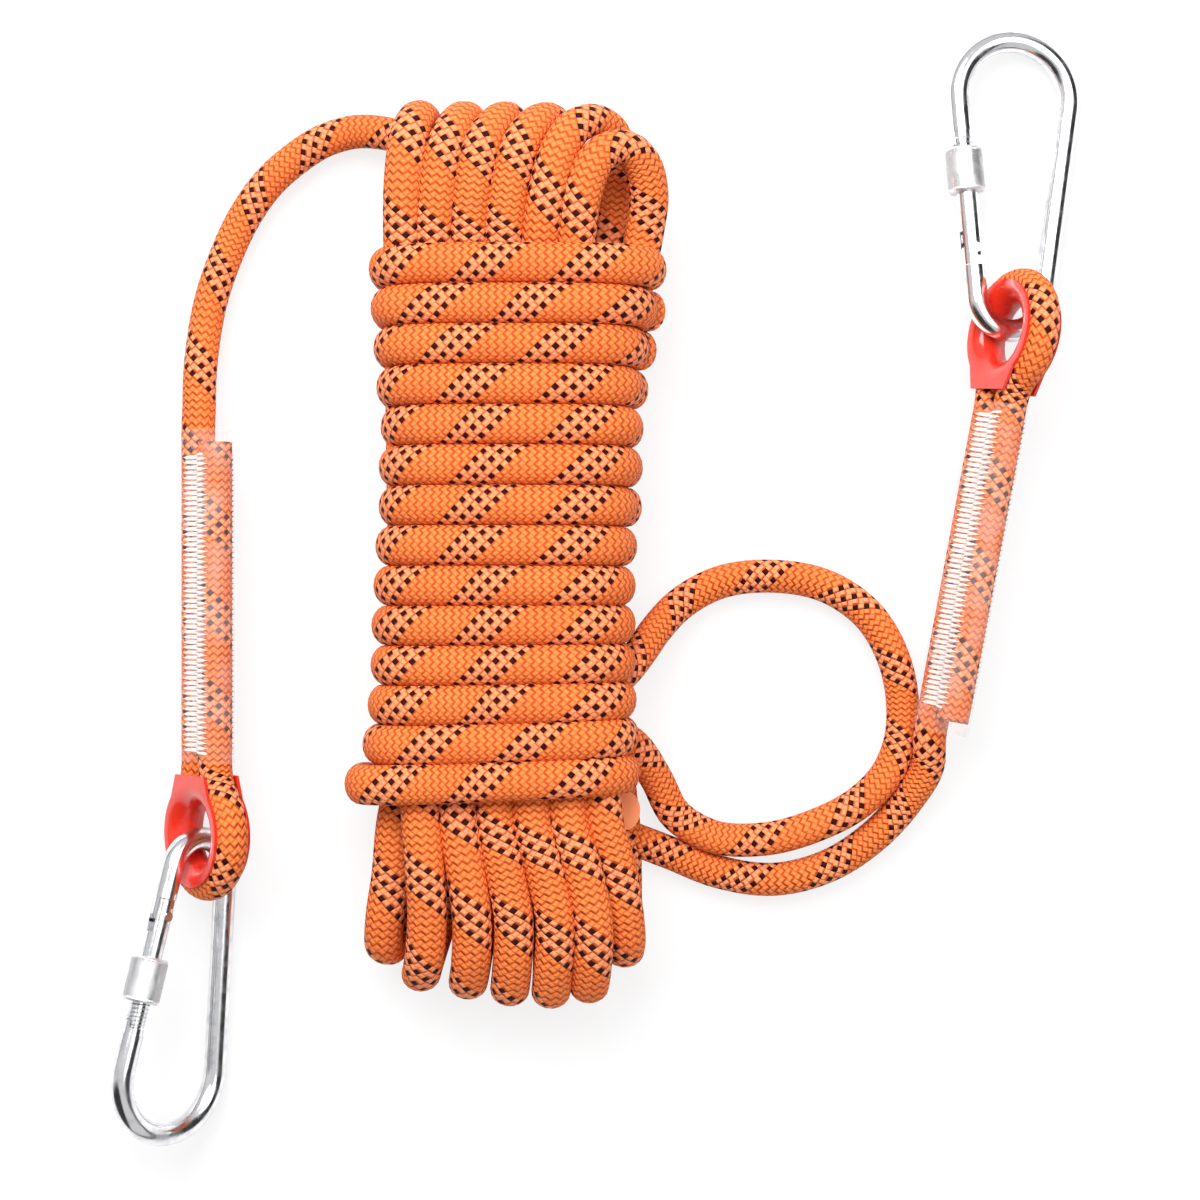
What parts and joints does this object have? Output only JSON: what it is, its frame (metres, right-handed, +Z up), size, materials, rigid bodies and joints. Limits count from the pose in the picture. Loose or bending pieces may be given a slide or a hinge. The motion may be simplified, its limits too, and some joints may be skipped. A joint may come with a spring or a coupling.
{
  "type": "dynamic climbing rope with sewn eyes",
  "caption": "Coiled dynamic climbing rope bound into a hank, with a sewn thimble eye and a screw-lock steel carabiner at each end.",
  "frame": {"origin": "centre of the bounding box's bottom face, on the floor the rope lies on", "axes": "+Z up, +Y along the hank from its lower to its upper bights"},
  "size_m": [0.3021, 0.3503, 0.0511],
  "materials": {
    "rope_sheath": "braided",
    "rope_core": "twisted yarns",
    "thread": "matt thread",
    "clear_sleeve": "clear, hazy",
    "red_plastic": "glossy",
    "zinc_steel": "polished zinc plate",
    "spring_steel": "drawn wire",
    "matte_nut": "matt, knurled"
  },
  "bodies": {
    "rope_coil": {"hank_loops": "rope_sheath", "hank_wraps": "rope_sheath", "left_tail": "rope_sheath", "right_loop": "rope_sheath", "right_tail": "rope_sheath", "left_eye_sheath": "rope_sheath", "left_eye_core": "rope_core", "left_stitching": "thread", "left_shrink_sleeve": "clear_sleeve", "left_thimble": "red_plastic", "right_eye_sheath": "rope_sheath", "right_eye_core": "rope_core", "right_stitching": "thread", "right_shrink_sleeve": "clear_sleeve", "right_thimble": "red_plastic"},
    "left_carabiner": {"left_carabiner_frame": "zinc_steel", "left_hinge_rivet": "zinc_steel"},
    "left_gate_body": {"left_gate": "zinc_steel", "left_gate_spring": "spring_steel"},
    "left_plunger_body": {"left_gate_plunger": "spring_steel"},
    "left_nut_body": {"left_lock_nut": "matte_nut"},
    "right_carabiner": {"right_carabiner_frame": "zinc_steel", "right_hinge_rivet": "zinc_steel"},
    "right_gate_body": {"right_gate": "zinc_steel", "right_gate_spring": "spring_steel"},
    "right_plunger_body": {"right_gate_plunger": "spring_steel"},
    "right_nut_body": {"right_lock_nut": "matte_nut"}
  },
  "joints": [
    {"name": "left_carabiner_swing", "type": "hinge", "parent": "rope_coil", "child": "left_carabiner", "pos_m": [-0.12479, -0.07778, 0.01768], "axis": [-0.7986, 0, 0.6018], "range_deg": [0, 35]},
    {"name": "left_gate_hinge", "type": "hinge", "parent": "left_carabiner", "child": "left_gate_body", "pos_m": [-0.13784, -0.10241, 0.02371], "axis": [0.7506, -0.0535, 0.6586], "range_deg": [0, 26], "stiffness_Nm_per_rad": 0.02, "springref_deg": -20.05},
    {"name": "left_plunger_slide", "type": "slide", "parent": "left_gate_body", "child": "left_plunger_body", "axis": [-0.2093, -0.9646, 0.1602], "range_m": [0, 0.0006], "deforming": ["left_gate_spring"]},
    {"name": "left_nut_screw", "type": "slide", "parent": "left_gate_body", "child": "left_nut_body", "axis": [-0.2093, -0.9646, 0.1602], "range_m": [0, 0.0097]},
    {"name": "right_carabiner_swing", "type": "hinge", "parent": "rope_coil", "child": "right_carabiner", "pos_m": [0.12661, 0.07802, 0.01935], "axis": [0.8911, -0.1652, -0.4226], "range_deg": [0, 35]},
    {"name": "right_gate_hinge", "type": "hinge", "parent": "right_carabiner", "child": "right_gate_body", "pos_m": [0.11459, 0.10505, 0.01517], "axis": [-0.2211, -0.0817, -0.9718], "range_deg": [0, 26], "stiffness_Nm_per_rad": 0.02, "springref_deg": -20.05},
    {"name": "right_plunger_slide", "type": "slide", "parent": "right_gate_body", "child": "right_plunger_body", "axis": [-0.0809, 0.9946, -0.0652], "range_m": [0, 0.0006], "deforming": ["right_gate_spring"]},
    {"name": "right_nut_screw", "type": "slide", "parent": "right_gate_body", "child": "right_nut_body", "axis": [-0.0809, 0.9946, -0.0652], "range_m": [0, 0.005]}
  ],
  "couplings": [
    {"joint": "left_plunger_slide", "follows": "left_gate_hinge", "m_per_rad": 0.0012},
    {"joint": "right_plunger_slide", "follows": "right_gate_hinge", "m_per_rad": 0.0012}
  ]
}
